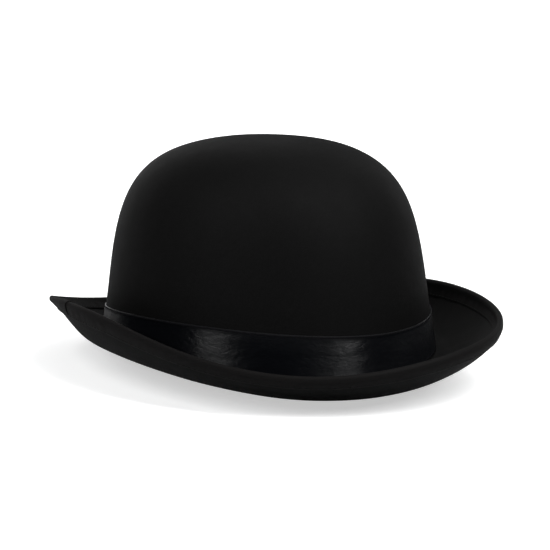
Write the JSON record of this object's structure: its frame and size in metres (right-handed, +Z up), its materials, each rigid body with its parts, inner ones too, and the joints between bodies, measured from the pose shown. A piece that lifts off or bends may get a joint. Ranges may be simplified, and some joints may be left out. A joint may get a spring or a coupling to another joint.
{
  "type": "bowler hat",
  "caption": "Hard round-crowned hat with a curled, bound and wired brim, a satin band round the crown, a lining and a turned-up sweatband.",
  "frame": {"origin": "centre of the bounding box on the floor the hat stands on, brim down", "axes": "+Z up through the crown, front of the hat towards -Y, +X towards the wearer's left"},
  "size_m": [0.2172, 0.2998, 0.1265],
  "materials": {
    "black_felt_cloth": "matte, brushed",
    "moulded_felt": "matte",
    "stiffening_felt": "matte",
    "binding_cloth": "matte, close woven",
    "black_thread": "slight sheen",
    "steel_wire": "drawn",
    "steel_sleeve": "crimped",
    "black_satin": "glossy satin",
    "lining_satin": "satin",
    "lining_thread": "slight sheen",
    "sweatband_leather": "smooth, semi-matte",
    "reed_plastic": "translucent, matte",
    "bow_tape": "satin tape",
    "label_tape": "matte woven tape"
  },
  "bodies": {
    "root": {"crown_cover": "black_felt_cloth", "crown_body": "moulded_felt", "brim_under_cover": "black_felt_cloth", "brim_board": "stiffening_felt", "brim_upper_cover": "black_felt_cloth", "brim_binding": "binding_cloth", "brim_binding_lap": "binding_cloth", "brim_wire": "steel_wire", "brim_wire_sleeve": "steel_sleeve", "binding_thread_upper": "black_thread", "binding_thread_under": "black_thread", "hat_band": "black_satin", "hat_band_lap": "black_satin", "hat_band_tacks": "black_thread", "lining_side_band": "lining_satin", "lining_tip": "lining_satin", "lining_seam_thread": "lining_thread", "sweatband": "sweatband_leather", "sweatband_reed": "reed_plastic", "sweatband_bow": "bow_tape", "headline_thread": "black_thread", "size_label": "label_tape"}
  },
  "joints": []
}
